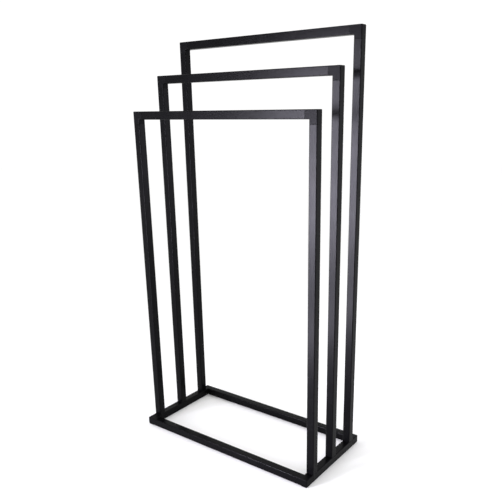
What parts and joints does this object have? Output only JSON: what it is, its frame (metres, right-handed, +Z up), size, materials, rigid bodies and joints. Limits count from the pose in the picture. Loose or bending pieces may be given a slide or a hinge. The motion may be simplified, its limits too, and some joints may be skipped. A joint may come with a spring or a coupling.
{
  "type": "towel rack",
  "caption": "Free-standing stepped towel rack: U frames of square tube, each taller than the one in front, bolted upright on an open rectangular base.",
  "frame": {"origin": "on the floor, under the middle of the base", "axes": "+X along the rails, +Y from the shortest frame towards the tallest, +Z up"},
  "size_m": [0.435, 0.205, 0.835],
  "materials": {
    "tube_coat": "satin black powder coat on square steel tube",
    "elbow_plastic": "matte black moulded plastic with a fine texture",
    "plug_steel": "bare zinc-plated steel",
    "screw_steel": "black oxide steel",
    "pad_rubber": "matte black rubber"
  },
  "bodies": {
    "root": {"front_rail": "tube_coat", "front_left_upright": "tube_coat", "front_left_top_elbow": "elbow_plastic", "front_left_foot_plug": "plug_steel", "front_right_upright": "tube_coat", "front_right_top_elbow": "elbow_plastic", "front_right_foot_plug": "plug_steel", "middle_rail": "tube_coat", "middle_left_upright": "tube_coat", "middle_left_top_elbow": "elbow_plastic", "middle_left_foot_plug": "plug_steel", "middle_right_upright": "tube_coat", "middle_right_top_elbow": "elbow_plastic", "middle_right_foot_plug": "plug_steel", "back_rail": "tube_coat", "back_left_upright": "tube_coat", "back_left_top_elbow": "elbow_plastic", "back_left_foot_plug": "plug_steel", "back_right_upright": "tube_coat", "back_right_top_elbow": "elbow_plastic", "back_right_foot_plug": "plug_steel", "base_front_bar": "tube_coat", "base_back_bar": "tube_coat", "base_left_bar": "tube_coat", "base_right_bar": "tube_coat", "base_front_left_elbow": "elbow_plastic", "front_left_pad": "pad_rubber", "base_front_right_elbow": "elbow_plastic", "front_right_pad": "pad_rubber", "base_back_right_elbow": "elbow_plastic", "back_right_pad": "pad_rubber", "base_back_left_elbow": "elbow_plastic", "back_left_pad": "pad_rubber", "foot_bolts": "screw_steel", "elbow_screws": "screw_steel", "base_screws": "screw_steel"}
  },
  "joints": []
}
